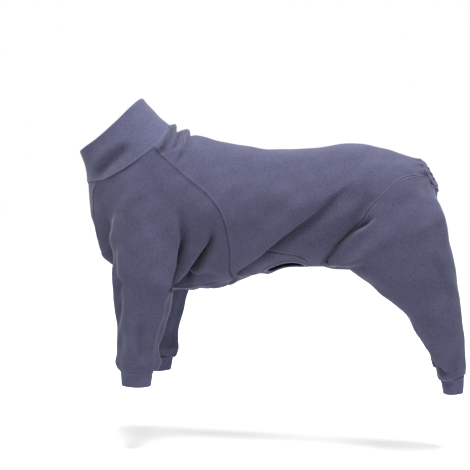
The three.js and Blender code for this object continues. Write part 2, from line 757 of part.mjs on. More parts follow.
// A leg piece: from its loop of seams through the bridge into the rings, down to the cuff's seam
function legPiece(leg, mirrored) {
  const loop = legLoop(leg);
  const ahead = mirrored ? leg.stride : 0;
  const rows = [];
  const bare = newSheet();
  for (let level = 0; level < leg.bridgeRows; level += 1) {
    const t = level / leg.bridgeRows;
    const row = loop.map((mark) => {
      const start = mark.point;
      const end = ringPoint(leg, leg.rings[0], mark.angle, ahead).point;
      const next = ringPoint(leg, leg.rings[1], mark.angle, ahead).point;
      const span = start.distanceTo(end);
      const arriving = next.sub(end).normalize().multiplyScalar(span * mark.drop);
      const point = new THREE.Vector3()
        .addScaledVector(start, 2 * t ** 3 - 3 * t ** 2 + 1)
        .addScaledVector(mark.leaving, span * mark.pull * (t ** 3 - 2 * t ** 2 + t))
        .addScaledVector(end, 3 * t ** 2 - 2 * t ** 3)
        .addScaledVector(arriving, t ** 3 - t ** 2);
      return addPoint(bare, point, level === 0 ? mark.normal : null);
    });
    rows.push([...row, row[0]]);
  }
  leg.rings.forEach((ring, level) => {
    const last = level === leg.rings.length - 1;
    const row = loop.map((mark) => {
      const { point, normal } = ringPoint(leg, ring, mark.angle, ahead);
      return addPoint(bare, point, last ? normal : null);
    });
    rows.push([...row, row[0]]);
  });
  joinRows(bare, rows);
  return clothGeometry(mirrorSheet(foldSheet(bare), mirrored), clothWall);
}

// Moves the free points of a left-hand sheet by the folds
function foldSheet(sheet) {
  const { normals } = facedOutwards(sheet);
  sheet.points.forEach((point, index) => {
    if (!sheet.normals[index]) point.addScaledVector(normals[index], foldLift(point, normals[index]));
  });
  return sheet;
}

function mirrorSheet(sheet, mirrored) {
  if (mirrored) {
    sheet.points.forEach((point) => { point.y = -point.y; });
    sheet.normals.forEach((normal) => { if (normal) normal.y = -normal.y; });
  }
  return sheet;
}

function cuff(leg, mirrored) {
  const sheet = newSheet();
  const seamRing = leg.rings[leg.rings.length - 1];
  const rows = [];
  for (let level = 0; level <= cuffRows; level += 1) {
    const ring = readTable([seamRing, leg.cuffEnd], level / cuffRows);
    const row = legLoop(leg).map((mark) => {
      const { point, normal } = ringPoint(leg, ring, mark.angle, mirrored ? leg.stride : 0);
      return addPoint(sheet, point, normal);
    });
    rows.push([...row, row[0]]);
  }
  joinRows(sheet, rows);
  return clothGeometry(mirrorSheet(sheet, mirrored), doubledWall);
}

const frontLeg = {
  seams: [
    [raglanSeam, facets.raglan],
    [underarmSeam, facets.underarm],
    [reversed(neckSeam), facets.neck],
  ],
  corners: frontCorners,
  rings: frontLegRings,
  cuffEnd: frontCuffEnd,
  startZ: clothWall - chestDepth,
  length: frontLegLength,
  depth: frontLegDepth,
  width: frontLegWidth,
  stance: frontStance,
  stride: 0,
  pointed: true,
  bridgeRows: frontBridgeRows,
};
const hindLeg = {
  seams: [
    [reversed(hipSeam), facets.hip],
    [groinSeam, facets.groin],
    [crotchEdge, facets.crotchEdge],
    [crotchSeam, facets.crotch],
    [reversed(tailSide), facets.tailSide],
  ],
  corners: hindCorners,
  rings: hindLegRings,
  cuffEnd: hindCuffEnd,
  startZ: clothWall - bellyLineShare * chestDepth,
  length: hindLegLength,
  depth: hindLegDepth,
  width: hindLegWidth,
  stance: hindStance,
  stride: hindStride,
  pointed: false,
  bridgeRows: hindBridgeRows,
};

const jumpsuit = new THREE.Group();

function addPiece(name, geometry, color) {
  const material = new THREE.MeshStandardMaterial({ color, roughness: fleeceRoughness, metalness: 0 });
  const mesh = new THREE.Mesh(geometry, material);
  mesh.name = name;
  jumpsuit.add(mesh);
}

addPiece('collar', collar(), fleece);
addPiece('back_panel', backPanel(), fleece);
addPiece('belly_panel', bellyPanel(), fleece);
addPiece('belly_binding', bellyBinding(), fleeceDark);
addPiece('tail_binding', tailBinding(), fleeceDark);
for (const [side, mirrored] of [['left', false], ['right', true]]) {
  addPiece(`front_sleeve_${side}`, legPiece(frontLeg, mirrored), fleece);
  addPiece(`front_cuff_${side}`, cuff(frontLeg, mirrored), fleeceDark);
  addPiece(`hind_leg_${side}`, legPiece(hindLeg, mirrored), fleece);
  addPiece(`hind_cuff_${side}`, cuff(hindLeg, mirrored), fleeceDark);
}

export default jumpsuit;
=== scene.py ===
import math

import bpy
import numpy as np
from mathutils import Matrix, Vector
from mathutils.bvhtree import BVHTree
from mathutils.kdtree import KDTree


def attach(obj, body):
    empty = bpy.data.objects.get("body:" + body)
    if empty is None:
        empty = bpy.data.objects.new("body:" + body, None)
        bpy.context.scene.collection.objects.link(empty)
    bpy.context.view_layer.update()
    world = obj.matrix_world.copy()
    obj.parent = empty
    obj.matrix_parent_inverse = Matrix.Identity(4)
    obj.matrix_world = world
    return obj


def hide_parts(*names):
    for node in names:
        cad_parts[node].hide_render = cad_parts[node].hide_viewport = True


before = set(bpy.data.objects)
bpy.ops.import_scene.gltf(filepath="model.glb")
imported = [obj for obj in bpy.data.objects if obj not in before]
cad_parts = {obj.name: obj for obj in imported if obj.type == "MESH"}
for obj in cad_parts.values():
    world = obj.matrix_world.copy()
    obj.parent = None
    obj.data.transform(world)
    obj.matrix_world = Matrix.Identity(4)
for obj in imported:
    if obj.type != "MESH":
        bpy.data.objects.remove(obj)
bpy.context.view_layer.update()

# Driving sizes, in millimetres, as in the CAD source
BODY_LENGTH = 543.0
CHEST_DEPTH = 308.0
CHEST_WIDTH = 224.0
TAIL_OPENING_WIDTH = 66.0
RIM_DEPTH = 186.0
RIM_WIDTH = 138.0
COLLAR_HEIGHT = 82.0
COLLAR_LEAN = math.radians(134)
RIM_SLOPE = math.radians(219.4)
RIM_DIP = 13.0
COLLAR_WAIST = 3.0
BELLY_LINE = 0.814
OPENING_LENGTH = 96.0
OPENING_WIDTH = 66.0
OPENING_STATION = 7.95
OPENING_TURN = 166.5
BINDING_WIDTH = 6.0
TAIL_BAND = 5.0
TAIL_DRAW = 0.26
WALL = 2.5
DOUBLED = 4.5
FRONT_LENGTH = 199.0
FRONT_CUFF = 32.0
HIND_LENGTH = 244.0
HIND_CUFF = 30.0
CORNER_REACH = 75.0  # how far from the top of a sleeve its two seams draw the cloth straight down
HIND_STRIDE = 14.0  # how far the right hind leg stands ahead of the left one

# Torso rings: topX, topZ, lowX, lowZ, half width
TORSO = np.array([
    (-0.491, 0.162, -0.835, -0.237, 0.72),
    (-0.447, 0.135, -0.823, -0.36, 0.83),
    (-0.398, 0.108, -0.803, -0.555, 0.91),
    (-0.34, 0.08, -0.748, -0.779, 0.96),
    (-0.274, 0.056, -0.62, -0.962, 0.99),
    (-0.201, 0.032, -0.429, -1.0, 1.0),
    (-0.112, 0.013, -0.275, -0.966, 0.98),
    (0.0, 0.0, -0.139, -0.883, 0.94),
    (0.103, 0.016, 0.002, -0.827, 0.9),
    (0.205, 0.043, 0.122, -0.813, 0.89),
    (0.298, 0.041, 0.249, -0.827, 0.92),
    (0.383, 0.008, 0.404, -0.763, 0.9),
    (0.456, -0.035, 0.525, -0.573, 0.74),
    (0.509, -0.058, 0.577, -0.272, TAIL_OPENING_WIDTH / CHEST_WIDTH),
])
WIDEST = 0.48
LAST = len(TORSO) - 1

# Seams on the torso: station along the rings, turn round them in degrees
SEAMS = {
    "nape": [(0, 0), (0.72, 26), (1.3, 55)],
    "neck": [(1.3, 55), (1.22, 88), (0.9, 118)],
    "throat": [(0.9, 118), (0.3, 150), (0, 180)],
    "raglan": [(1.3, 55), (2.35, 56), (3.5, 59), (4.5, 66), (5.3, 78), (5.75, 91), (6.05, 106),
               (6.25, 124), (6.3, 147)],
    "underarm": [(6.3, 147), (5.6, 157), (4.9, 162), (4.0, 163), (3.0, 160), (2.0, 154),
                 (1.15, 142), (0.85, 128), (0.9, 118)],
    "belly": [(6.3, 147), (6.9, 132), (7.4, 131), (7.9, 135), (8.35, 141), (8.6, 149),
              (8.72, 160), (9.0, 166)],
    "hip": [(9.0, 166), (9.3, 142), (9.75, 121), (10.2, 104), (10.55, 88), (11.1, 73),
            (11.7, 62), (12.3, 65), (13, 97)],
    "groin": [(9.0, 166), (10, 168), (11, 170)],
    "crotch_edge": [(11, 170), (11, 180)],
    "crotch": [(11, 180), (12, 180), (13, 180)],
    "tail_side": [(13, 97), (13, 180)],
    "tail_top": [(13, 0), (13, 97)],
}
COUNTS = {"nape": 72, "neck": 40, "throat": 24, "raglan": 112, "underarm": 100, "belly": 72,
          "hip": 84, "groin": 20, "crotch_edge": 14, "crotch": 28, "tail_side": 20, "tail_top": 40}
MILLIMETRE = 0.001
SUNK = 0.8  # how far the cloth's face lies below the solid's, to leave room for its relief
FAR = 400.0  # beyond the suit on every side but below it
MIDDLE_HEIGHT = -100.0  # a fold's path above it may run over the topline, one below it under the belly
ROLL_HIGHLIGHT = 0.025  # painted highlight: how much lighter a roll is painted for each millimetre of its rise
HOLLOW_SHADE = 0.044  # painted shade: how much darker a hollow is painted for each millimetre of its depth
OPENING_RINGS = 12
RIM_STEPS = 6
TAIL_PLEATS = 13
EDGE_POWER = 1.35  # how much closer the rows lie next to a seam
TOPLINE = [0, 7.2, 9.9, LAST]  # stations on the topline across from the ends of the side seams

# Legs: rings of drop, centre, depth, width, spread, tilt, and corners of angle, pull, drop
FRONT_LEG = {
    "length": FRONT_LENGTH, "depth": 100.0, "width": 76.0, "stance": 164.0,
    "start": WALL - CHEST_DEPTH, "blouse": 4.0, "bridge_rows": 56, "ring_rows": 64,
    "rings": [(-0.14, -0.558, 1.39, 1.3, 0.98, -11.6), (0.03, -0.56, 1.25, 1.2, 0.99, -8),
              (0.2, -0.564, 1.155, 1.1, 1, -1), (0.4, -0.573, 1.0, 1.0, 1, 3),
              (0.58, -0.584, 0.92, 0.95, 1, 2.5), (0.74, -0.586, 0.93, 0.96, 1, 1),
              (1 - FRONT_CUFF / FRONT_LENGTH, -0.588, 0.76, 0.8, 1, -1)],
    "end": (1, -0.59, 0.67, 0.74, 1, 0),
    "seams": [("raglan", False), ("underarm", False), ("neck", True)], "corner_draw": 0.95,
    "corners": [(-75, 0.8, 0.75), (45, 0.7, 0.45), (165, 1.0, 0.5), (285, 0.8, 0.75)],
}
HIND_LEG = {
    "length": HIND_LENGTH, "depth": 118.0, "width": 82.0, "stance": 134.0,
    "start": WALL - BELLY_LINE * CHEST_DEPTH, "blouse": 3.0, "bridge_rows": 48, "ring_rows": 64,
    "rings": [(-0.254, 0.412, 1.98, 1.2, 1, 25.8), (-0.064, 0.468, 1.65, 1.14, 1, 18),
              (0.152, 0.522, 1.27, 1.06, 1, 6.9), (0.314, 0.567, 1.0, 1.0, 1, 1.7),
              (0.542, 0.61, 0.74, 0.86, 1, 10.9), (0.731, 0.636, 0.56, 0.77, 1, 2.7),
              (1 - HIND_CUFF / HIND_LENGTH, 0.647, 0.43, 0.57, 1, 14.7)],
    "end": (1, 0.65, 0.37, 0.53, 1, 3.4),
    "seams": [("hip", True), ("groin", False), ("crotch_edge", False), ("crotch", False),
              ("tail_side", True)], "corner_draw": 0,
    "corners": [(-35, 0.8, 0.7), (-172, 0.6, 0.6), (-255, 0.5, 0.6), (-268, 0.45, 0.6),
                (-325, 0.25, 0.5), (-395, 0.8, 0.7)],
}

# Folds, in millimetres: each runs along path, x and z seen from the left. rise lifts a roll along it
# and sink a hollow on its right hand; lean pushes the roll over the hollow. broad is the roll's width
# on its gentle side and steep on the other; start and end are the shares over which it fades.
FOLDS = [
    # rise, sink, lean, broad, steep, start, end, path
    ("flank_pleat", 9.0, 19.0, 8.0, 34, 6, 0.08, 0.6,
     [(-140, -292), (-113, -250), (-70, -220), (-44, -199), (35, -139), (110, -78), (165, -44)]),
    ("flank_soft", 3.5, 4.0, 0, 24, 18, 0.3, 0.4, [(-20, -205), (60, -160), (120, -128), (185, -80)]),
    ("armpit_line", 5.0, 26.0, 5.0, 22, 6, 0.12, 0.65,
     [(-250, -298), (-241, -270), (-232, -240), (-225, -197), (-224, -153), (-228, -110)]),
    ("armpit_hollow", 5.0, 27.0, 6.0, 14, 6, 0.14, 0.55,
     [(-244, -296), (-218, -258), (-194, -227), (-174, -198), (-158, -168), (-148, -138)]),
    ("nape_roll", 8.0, 7.0, 2.0, 6, 6, 0.3, 0.0, [(-272, -6), (-264, 14), (-260, 34), (-257, 60)]),
    ("withers_roll", 7.0, 6.0, 1.5, 7, 6, 0.4, 0.0,
     [(-236, -28), (-226, -4), (-224, 18), (-228, 36), (-231, 60)]),
    ("withers_notch", 0.0, 7.0, 0, 6, 3.5, 0.3, 0.2, [(-246, 2), (-241, 16), (-241, 28), (-242, 40)]),
    ("hip_crease", 3.5, 13.0, 2.0, 13, 4.5, 0.3, 0.12,
     [(196, -132), (178, -150), (154, -166), (130, -189), (108, -217), (86, -246), (77, -262)]),
    ("hip_soft", 3.5, 4.5, 0, 22, 14, 0.3, 0.3, [(208, -98), (190, -118), (172, -140), (152, -168)]),
    ("groin_crescent", 2.5, 3.0, 0.5, 12, 7, 0.2, 0.3, [(96, -240), (140, -229), (178, -214)]),
    ("shoulder_drag", 3.5, 4.0, 0, 18, 13, 0.3, 0.3, [(-350, -130), (-362, -165), (-378, -215)]),
    ("sleeve_upper", 3.0, 3.0, 0, 15, 11, 0.3, 0.3, [(-340, -195), (-346, -236), (-344, -280)]),
    ("sleeve_dark", 1.5, 5.0, 0, 15, 11, 0.35, 0.45, [(-322, -272), (-336, -299), (-352, -330)]),
    ("sleeve_lower", 3.0, 4.0, 0, 13, 9, 0.4, 0.35, [(-322, -292), (-338, -343), (-352, -400)]),
    ("sleeve_rear", 4.5, 5.0, 0, 9, 7, 0.3, 0.3,
     [(-262, -420), (-272, -370), (-276, -320), (-272, -290)]),
    ("sleeve_low", 3.5, 4.0, 0, 12, 8, 0.3, 0.3,
     [(-310, -450), (-318, -420), (-316, -380), (-308, -350)]),
    ("cuff_wrinkle", 3.5, 4.0, 1.0, 9, 6, 0.2, 0.35, [(-376, -438), (-362, -446), (-344, -445)]),
    ("cuff_wrinkle_high", 3.0, 3.5, 1.0, 8, 6, 0.2, 0.35, [(-376, -398), (-364, -406), (-348, -408)]),
    ("chest_fill", 3.0, 0.0, 0, 24, 22, 0.35, 0.2,
     [(-360, -140), (-372, -180), (-384, -220), (-390, -262)]),
    ("chest_front", 4.0, 3.0, 0, 12, 9, 0.2, 0.3, [(-432, -160), (-410, -205), (-388, -238)]),
    ("chest_front_low", 3.5, 3.0, 0, 10, 8, 0.2, 0.3, [(-400, -215), (-388, -250), (-372, -285)]),
    ("collar_dent", 2.5, 8.0, 0, 18, 12, 0.2, 0.4, [(-428, -38), (-394, -10), (-362, 14), (-334, 32)]),
    ("rump_soft", 2.0, 2.0, 0, 16, 14, 0.3, 0.3, [(225, -18), (250, -30), (276, -46)]),
    ("hock_fold", 3.5, 7.5, 0.5, 14, 6, 0.35, 0.35,
     [(300, -398), (314, -418), (330, -432), (352, -438)]),
    ("hock_shadow", 2.0, 4.0, 0, 9, 6, 0.4, 0.3, [(318, -452), (334, -458), (352, -456)]),
    ("thigh_front", 6.0, 0.0, 0, 24, 24, 0.45, 0.45,
     [(176, -262), (214, -284), (252, -320), (286, -366), (312, -412)]),
    ("thigh_rear", 3.0, 2.0, 0, 12, 12, 0.3, 0.3, [(322, -195), (342, -250), (354, -290)]),
]


def mix(a, b, share):
    return a + (b - a) * share


def smoothstep(low, high, value):
    t = np.clip((value - low) / (high - low), 0, 1)
    return t * t * (3 - 2 * t)


def bell(value, middle, width):
    """A soft bump, 1 high at middle."""
    return np.exp(-(((value - middle) / width) ** 2))


def unit(v):
    return v / np.maximum(np.linalg.norm(v, axis=-1, keepdims=True), 1e-9)


def read_table(rows, place):
    """A smooth curve through the rows of a table, read at places that count its rows."""
    rows = np.asarray(rows, float)
    place = np.asarray(place, float)
    last = len(rows) - 1
    index = np.clip(np.floor(place).astype(int), 0, max(last - 1, 0))
    t = (place - index)[..., None]
    p0 = rows[np.maximum(index - 1, 0)]
    p1 = rows[index]
    p2 = rows[np.minimum(index + 1, last)]
    p3 = rows[np.minimum(index + 2, last)]
    square = t * t * (2 * p0 - 5 * p1 + 4 * p2 - p3)
    cube = t ** 3 * (3 * p1 - p0 - 3 * p2 + p3)
    return 0.5 * (2 * p1 + t * (p2 - p0) + square + cube)


def torso(station, turn):
    """Points of the torso's outer face. turn runs from 0 to 360 degrees, the left side first."""
    row = read_table(TORSO, station)
    angle = np.radians(turn)
    cos = np.cos(angle)
    across = np.where(cos > 0, WIDEST * (1 - cos), WIDEST - (1 - WIDEST) * cos)
    return np.stack([
        BODY_LENGTH * mix(row[..., 0], row[..., 2], across),
        -0.5 * CHEST_WIDTH * row[..., 4] * np.sin(angle),
        WALL + CHEST_DEPTH * mix(row[..., 1], row[..., 3], across),
    ], axis=-1)


def torso_normal(station, turn):
    low = np.maximum(station - 0.02, 0)
    high = np.minimum(station + 0.02, LAST)
    along = torso(high, turn) - torso(low, turn)
    around = torso(station, turn + 1) - torso(station, turn - 1)
    return unit(np.cross(around, along))


TAIL_TOP = torso(float(LAST), 0.0)
TAIL_LOW = torso(float(LAST), 180.0)
TAIL_MIDDLE = 0.5 * (TAIL_TOP + TAIL_LOW)
TAIL_UP = unit(TAIL_TOP - TAIL_LOW)
TAIL_OUT = np.array([TAIL_UP[2], 0, -TAIL_UP[0]])


def seam(name, reverse=False):
    """Samples (station, turn) along a seam. The pieces that meet there share them."""
    rows = SEAMS[name]
    share = np.linspace(0, 1, COUNTS[name] + 1)
    if name == "raglan":
        share = share ** 1.2
    samples = read_table(rows, share * (len(rows) - 1))
    return samples[::-1] if reverse else samples


def grid_quads(rows, columns, wrap):
    index = np.arange(rows * columns).reshape(rows, columns)
    if wrap:
        index = np.concatenate([index, index[:, :1]], axis=1)
    return np.stack([index[:-1, :-1], index[1:, :-1], index[1:, 1:], index[:-1, 1:]], -1).reshape(-1, 4)


def grid_normals(points, known):
    """Normals of a grid that closes on itself sideways, turned to agree with known at its first row."""
    along = np.gradient(points, axis=0)
    around = np.roll(points, -1, axis=1) - np.roll(points, 1, axis=1)
    normals = unit(np.cross(around, along))
    if (normals[0] * known).sum() < 0:
        normals = -normals
    return normals


def relax(values, passes, wrap):
    """Evens out values over a grid, row by row and column by column."""
    for _ in range(passes):
        values = values.copy()
        values[1:-1] = 0.5 * values[1:-1] + 0.25 * (values[:-2] + values[2:])
        if wrap:
            values = 0.5 * values + 0.25 * (np.roll(values, 1, axis=1) + np.roll(values, -1, axis=1))
    return values


def facing(quads, points, normals):
    """The facets, turned to face outwards together."""
    a, b, c = (points[quads[:, k]] for k in range(3))
    return quads if (np.cross(b - a, c - a) * normals[quads[:, 0]]).sum() > 0 else quads[:, ::-1]


PIECES = {}


def add_piece(name, points, normals, quads, wall, seams, rim=None):
    """Keeps a sheet: points of its outer face, its normals, its facets, the rows of points on its seams
    and the row of points on its free edge."""
    PIECES[name] = {"points": points, "normals": normals, "quads": facing(quads, points, normals),
                    "wall": wall, "seams": np.unique(np.concatenate(seams)), "rim": rim}


def add_tube(name, points, normals, wall, free):
    """Keeps a grid that closes on itself sideways. Its last row is a free edge or is sewn on too."""
    ids = np.arange(points.shape[0] * points.shape[1]).reshape(points.shape[:2])
    add_piece(name, points.reshape(-1, 3), normals.reshape(-1, 3), grid_quads(*ids.shape, True), wall,
              [ids[0]] if free else [ids[0], ids[-1]], ids[-1] if free else None)


def eased(count):
    """Shares from 0 to 1, closest together next to 1."""
    return 1 - (1 - np.linspace(0, 1, count + 1)) ** EDGE_POWER


def topline_stations(count):
    """Stations along the topline, one for each sample of the panel's side edge."""
    raglan = COUNTS["raglan"]
    marks = [0, raglan, raglan + COUNTS["belly"], count - 1]
    index = np.arange(count)
    stations = np.interp(index, marks, TOPLINE)
    start = index <= raglan
    stations[start] = TOPLINE[1] * (index[start] / raglan) ** 1.1
    return relax(stations[:, None], passes=60, wrap=False)[:, 0]


def across_panel(half):
    """Rows across a panel, counted from its middle, and how far each lies towards the edge."""
    rows = np.arange(-half, half + 1)
    return rows, eased(half)[np.abs(rows)]


def bend(rows, share):
    """How far a curved seam across a panel leaves the straight line between its ends."""
    rows = np.array(rows, float)
    return read_table(rows, share * (len(rows) - 1)) - mix(rows[0], rows[-1], share[:, None])


def back_panel():
    edge = np.concatenate([seam("raglan"), seam("belly")[1:], seam("hip")[1:]])
    rows, share = across_panel(COUNTS["nape"])
    nape = bend(SEAMS["nape"], share)
    fade = (1 - np.minimum(np.arange(len(edge)) / COUNTS["raglan"], 1))[:, None] ** 2
    station = mix(topline_stations(len(edge))[:, None], edge[:, :1], share) + fade * nape[:, 0]
    turn = edge[:, 1:] * share + fade * nape[:, 1]
    turn = np.where(rows > 0, 360 - turn, turn)
    points, normals = torso(station, turn), torso_normal(station, turn)
    ids = np.arange(station.size).reshape(station.shape)
    add_piece("back_panel", points.reshape(-1, 3), normals.reshape(-1, 3), grid_quads(*ids.shape, False),
              WALL, [ids[0], ids[-1], ids[:, 0], ids[:, -1]])


PER_STATION = np.linalg.norm(torso(OPENING_STATION + 0.5, OPENING_TURN)
                             - torso(OPENING_STATION - 0.5, OPENING_TURN))
PER_TURN = np.linalg.norm(torso(OPENING_STATION, OPENING_TURN + 5)
                          - torso(OPENING_STATION, OPENING_TURN - 5)) / 10


def oval(angle, grow):
    return (OPENING_STATION + np.cos(angle) * (0.5 * OPENING_LENGTH + grow) / PER_STATION,
            OPENING_TURN + np.sin(angle) * (0.5 * OPENING_WIDTH + grow) / PER_TURN)


def belly_samples():
    """Stations and turns of the belly panel's grid. Its middle column lies on the belly's middle."""
    edge = np.concatenate([seam("underarm", True), seam("belly")[1:], seam("groin")[1:]])
    rows, share = across_panel(COUNTS["throat"])
    throat = np.array(SEAMS["throat"][::-1], float)
    curve = bend(throat, share)
    fade = ((1 - np.minimum(np.arange(len(edge)) / COUNTS["underarm"], 1)) ** 2)[:, None]
    middle = edge[:, :1] - (throat[-1, 0] - throat[0, 0]) * fade
    station = mix(middle, edge[:, :1], share) + fade * curve[:, 0]
    turn = mix(180, edge[:, 1:], share) + fade * curve[:, 1]
    return station, np.where(rows > 0, 360 - turn, turn)


def belly_panel():
    """The facets round the opening give way to rings that run from a block's outline to the oval."""
    station, turn = belly_samples()
    ids = np.arange(station.size).reshape(station.shape)
    wide = (turn - OPENING_TURN) * PER_TURN / (0.5 * OPENING_WIDTH)
    long = (station - OPENING_STATION) * PER_STATION / (0.5 * OPENING_LENGTH)
    columns = np.flatnonzero(np.abs(long[:, COUNTS["throat"]]) < 1.25)
    first, last = columns[0], columns[-1]
    inside = np.flatnonzero(np.abs(wide[(first + last) // 2]) < 1.3)
    low, high = inside[0], inside[-1]
    outline = np.concatenate([ids[first:last, low], ids[last, low:high], ids[last:first:-1, high],
                              ids[first, high:low:-1]])
    block = np.zeros(ids.shape, bool)
    block[first:last, low:high] = True
    quads = grid_quads(*ids.shape, False)
    quads = quads[~block.ravel()[quads[:, 0]]]

    station, turn = station.ravel(), turn.ravel()
    angle = np.arctan2(wide.ravel()[outline], long.ravel()[outline])
    oval_station, oval_turn = oval(angle, 0)
    share = eased(OPENING_RINGS)[1:, None]
    rings = ids.size + np.arange(share.size * len(outline)).reshape(share.size, -1)
    rings = np.concatenate([outline[None], rings])
    station = np.concatenate([station, mix(station[outline], oval_station, share).ravel()])
    turn = np.concatenate([turn, mix(turn[outline], oval_turn, share).ravel()])
    looped = np.concatenate([rings, rings[:, :1]], axis=1)
    patch = np.stack([looped[:-1, :-1], looped[1:, :-1], looped[1:, 1:], looped[:-1, 1:]], -1)
    points, normals = torso(station, turn), torso_normal(station, turn)
    quads = np.concatenate([facing(part, points, normals) for part in (quads, patch.reshape(-1, 4))])
    used, quads = np.unique(quads, return_inverse=True)
    place = np.full(len(points), -1)
    place[used] = np.arange(len(used))
    sides = [ids[0], ids[-1], ids[:, 0], ids[:, -1], rings[-1]]
    add_piece("belly_panel", points[used], normals[used], quads.reshape(-1, 4), WALL,
              [place[side] for side in sides])
    return angle


def belly_binding(angle):
    grows = np.linspace(0, -BINDING_WIDTH, 5)[:, None]
    station, turn = oval(angle, grows)
    add_tube("belly_binding", torso(station, turn), torso_normal(station, turn), DOUBLED, True)


def round_loop(names):
    """Samples all the way round the torso, along seams of the left side and back along the right."""
    half = np.concatenate([seam(names[0])] + [seam(name)[1:] for name in names[1:]])
    other = half[-2:0:-1].copy()
    other[:, 1] = 360 - other[:, 1]
    return np.concatenate([half, other])


def rim_points(turn):
    """The collar's rim, as a ring round the neck."""
    nape = torso(0.0, 0.0)
    top = nape + COLLAR_HEIGHT * np.array([math.cos(COLLAR_LEAN), 0, math.sin(COLLAR_LEAN)])
    slope = np.array([math.cos(RIM_SLOPE), 0, math.sin(RIM_SLOPE)])
    axis = np.array([slope[2], 0, -slope[0]])
    angle = np.radians(turn)[:, None]
    points = top + slope * RIM_DEPTH * (1 - np.cos(angle)) / 2 - axis * RIM_DIP * np.sin(angle) ** 2
    points[:, 1] = -0.5 * RIM_WIDTH * np.sin(angle[:, 0])
    return points


def collar():
    loop = round_loop(["nape", "neck", "throat"])
    low, known = torso(loop[:, 0], loop[:, 1]), torso_normal(loop[:, 0], loop[:, 1])
    rim = rim_points(loop[:, 1])
    share = (np.linspace(0, 1, 33) ** 1.2)[:, None, None]
    points = mix(low, rim, share) - known * COLLAR_WAIST * np.sin(np.pi * share)
    normals = grid_normals(points, known)
    normals[0] = known
    add_tube("collar", points, normals, DOUBLED, True)


def tail_binding():
    loop = round_loop(["tail_top", "tail_side"])
    low, known = torso(loop[:, 0], loop[:, 1]), torso_normal(loop[:, 0], loop[:, 1])
    share = np.linspace(0, 1, 7)[:, None, None]
    points = mix(low, TAIL_MIDDLE, TAIL_DRAW * share) + TAIL_OUT * TAIL_BAND * share
    normals = grid_normals(points, known)
    normals[0] = known
    add_tube("tail_binding", points, normals, DOUBLED, True)


def ring_points(leg, rows, angle):
    """Points and normals of rings round the left leg."""
    drop, centre, depth, width, spread, tilt = (rows[:, k][:, None] for k in range(6))
    tilt = np.radians(tilt)
    angle = np.radians(angle)
    half_depth, half_width = 0.5 * depth * leg["depth"], 0.5 * width * leg["width"]
    cos, sin = np.cos(angle), np.sin(angle)
    points = np.stack(np.broadcast_arrays(
        centre * BODY_LENGTH + np.cos(tilt) * cos * half_depth,
        -0.5 * leg["stance"] * spread + sin * half_width,
        leg["start"] - drop * leg["length"] + np.sin(tilt) * cos * half_depth,
    ), -1)
    normals = unit(np.stack(np.broadcast_arrays(
        np.cos(tilt) * cos / half_depth, sin / half_width, np.sin(tilt) * cos / half_depth), -1))
    return points, normals


def evened(values, passes, turns=0.0):
    """Evens out values round a loop that grow by turns in all."""
    trend = turns * np.arange(len(values)) / len(values)
    values = values - (trend if values.ndim == 1 else trend[:, None])
    for _ in range(passes):
        values = 0.5 * values + 0.25 * (np.roll(values, 1, axis=0) + np.roll(values, -1, axis=0))
    return values + (trend if values.ndim == 1 else trend[:, None])


def smoothed(grid, passes):
    """Takes short bumps out of a grid that closes on itself sideways, but for its end rows."""
    for step in range(2 * passes):
        mean = 0.25 * (np.roll(grid, 1, axis=1) + np.roll(grid, -1, axis=1))[1:-1]
        mean += 0.25 * (grid[:-2] + grid[2:])
        grid = grid.copy()
        grid[1:-1] += (0.5 if step % 2 == 0 else -0.515) * (mean - grid[1:-1])
    return grid


def leg_samples(leg):
    """Samples along the seams of a leg, with the angle, pull and drop that go with each."""
    marks, corners = [], []
    for part, (seam_name, reverse) in enumerate(leg["seams"]):
        samples = seam(seam_name, reverse)
        share = np.linspace(0, 1, len(samples))[:-1, None]
        marks.append(samples[:-1])
        corners.append(mix(np.array(leg["corners"][part]), np.array(leg["corners"][part + 1]), share))
    corners = np.concatenate(corners)
    turns = leg["corners"][-1][0] - leg["corners"][0][0]
    angle = evened(corners[:, 0], passes=14, turns=turns)
    pull, drop = (evened(corners[:, k], passes=30)[:, None] for k in (1, 2))
    return np.concatenate(marks), angle, pull, drop


def leaving_seams(leg, start, known):
    """The ways in which the cloth leaves its seams, and how far the top corner draws it down."""
    leaving = unit(np.cross(known, np.roll(start, -1, axis=0) - np.roll(start, 1, axis=0)))
    if ((start.mean(0) - start) * leaving).sum() < 0:
        leaving = -leaving
    leaving = unit(evened(leaving, passes=130))
    away = np.linalg.norm(start - start[0], axis=1, keepdims=True)
    drawn = leg["corner_draw"] * bell(away, 0, CORNER_REACH)
    return unit(mix(leaving, leaving[0], drawn)), drawn


def bridge_points(leg, start, known, pull, drop, first):
    """Rows of a leg between its seams and its first rings, on cubic curves."""
    leaving, drawn = leaving_seams(leg, start, known)
    pull = pull * (1 - 0.6 * drawn)
    end, following = first
    span = np.linalg.norm(end - start, axis=1, keepdims=True)
    arriving = unit(following - end) * span * drop
    u = np.arange(leg["bridge_rows"]) / leg["bridge_rows"]
    t = (mix(u, u ** 1.5, 1 - u))[:, None, None]
    return (start * (2 * t ** 3 - 3 * t ** 2 + 1) + leaving * span * pull * (t ** 3 - 2 * t ** 2 + t)
            + end * (3 * t ** 2 - 2 * t ** 3) + arriving * (t ** 3 - t ** 2))


def bloused(leg, points, angle):
    """The cloth bulges just above the cuff and hangs a little over it."""
    height = np.linalg.norm(points - points[-1], axis=-1, keepdims=True)
    ripple = 1 + 0.45 * np.sin(2 * np.radians(angle) + 1.1) + 0.35 * np.sin(5 * np.radians(angle))
    ripple = ripple[:, None] * leg["blouse"]
    bulge, lip = bell(height, 17, 12), bell(height, 6, 6)
    out = points - points.mean(1, keepdims=True)
    out[..., 2] = 0
    return points + ripple * (unit(out) * (0.8 * bulge + 0.25 * lip) - np.array([0, 0, 0.8]) * lip)


